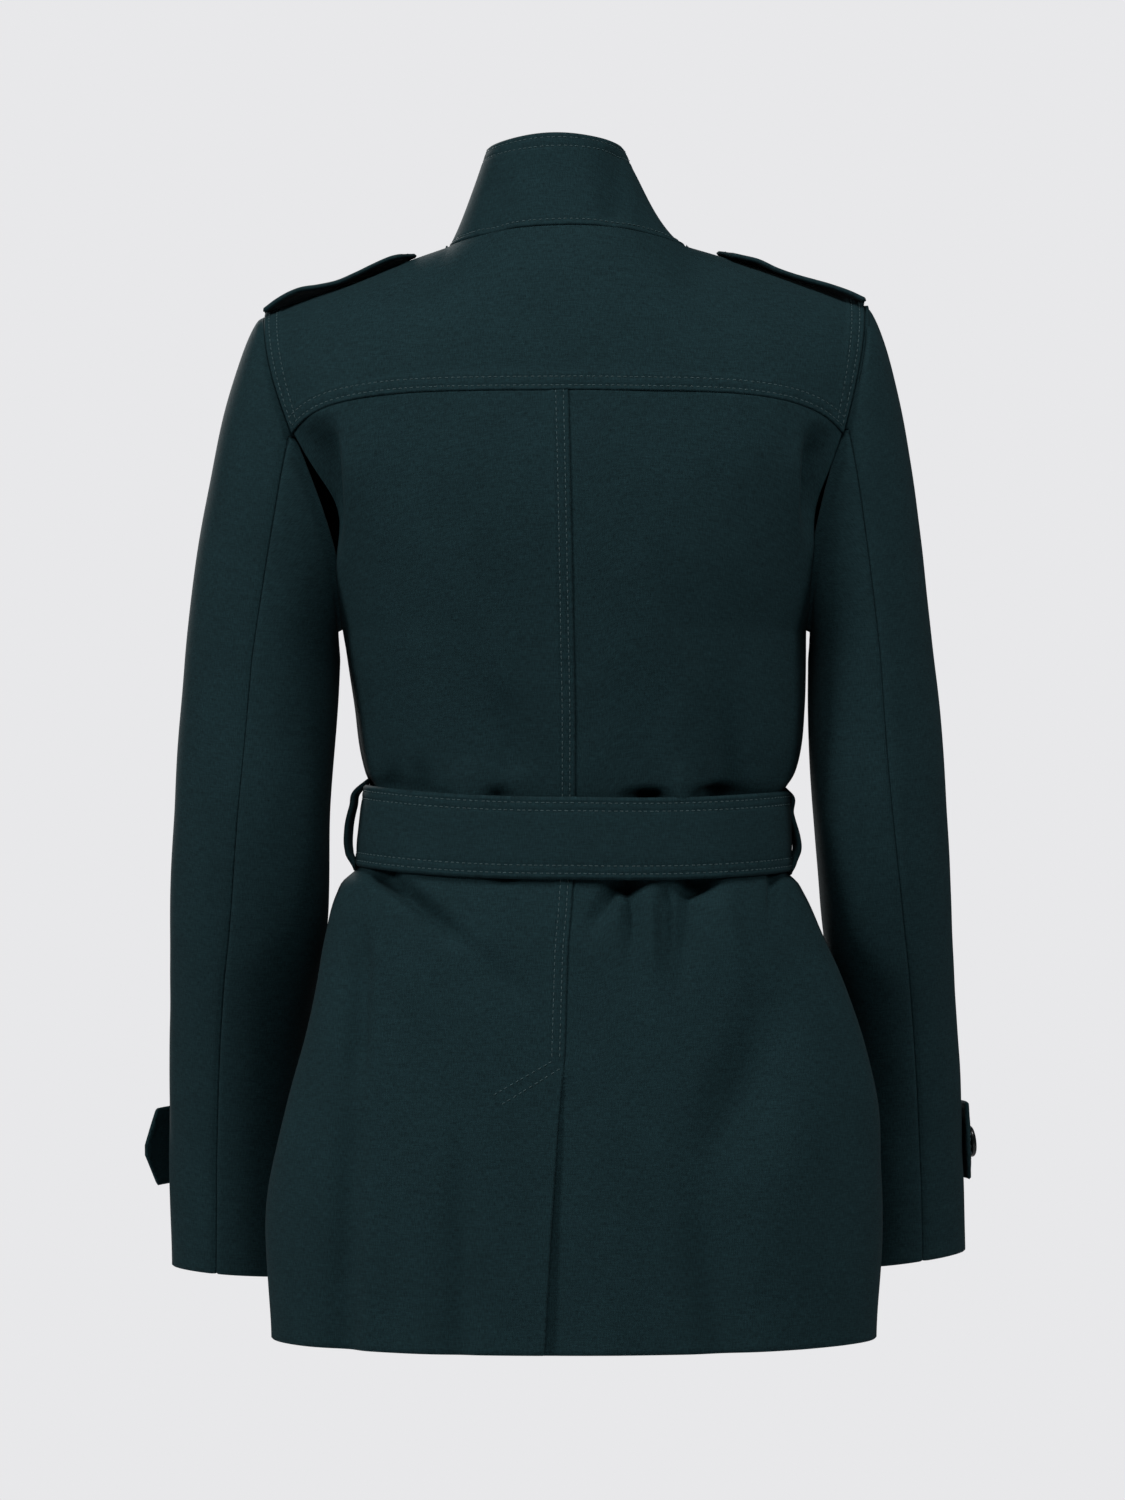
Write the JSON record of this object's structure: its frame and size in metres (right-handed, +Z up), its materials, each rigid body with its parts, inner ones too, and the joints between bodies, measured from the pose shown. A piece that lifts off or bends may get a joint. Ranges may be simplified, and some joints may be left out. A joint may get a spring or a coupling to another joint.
{
  "type": "utility jacket",
  "caption": "Belted hip-length jacket, filled out as worn, with back yoke, stand collar, shoulder straps, two-piece sleeves with cuff straps and a back vent.",
  "frame": {"origin": "middle of the neck opening at the height where the shoulder seams meet the neck", "axes": "+Z up, +Y towards the back of the jacket, +X towards the wearer's left"},
  "size_m": [0.5252, 0.258, 0.7411],
  "materials": {
    "shell_cloth": "dark blue-green woven cotton with fine light flecks and tonal topstitching",
    "button_horn": "dark horn-like resin, softly polished",
    "buckle_resin": "dark resin, satin"
  },
  "bodies": {
    "root": {"back_yoke": "shell_cloth", "back_left": "shell_cloth", "back_right": "shell_cloth", "front_left": "shell_cloth", "front_right": "shell_cloth", "collar": "shell_cloth", "sleeve_upper_left": "shell_cloth", "sleeve_under_left": "shell_cloth", "sleeve_upper_right": "shell_cloth", "sleeve_under_right": "shell_cloth", "shoulder_strap_left": "shell_cloth", "shoulder_strap_right": "shell_cloth", "cuff_strap_left": "shell_cloth", "cuff_strap_right": "shell_cloth", "belt": "shell_cloth", "belt_end": "shell_cloth", "belt_loop_left": "shell_cloth", "belt_loop_right": "shell_cloth", "button_cuff_left": "button_horn", "button_cuff_right": "button_horn", "button_front_1": "button_horn", "button_front_2": "button_horn", "button_front_3": "button_horn", "button_front_4": "button_horn", "button_front_5": "button_horn", "buckle": "buckle_resin"}
  },
  "joints": []
}
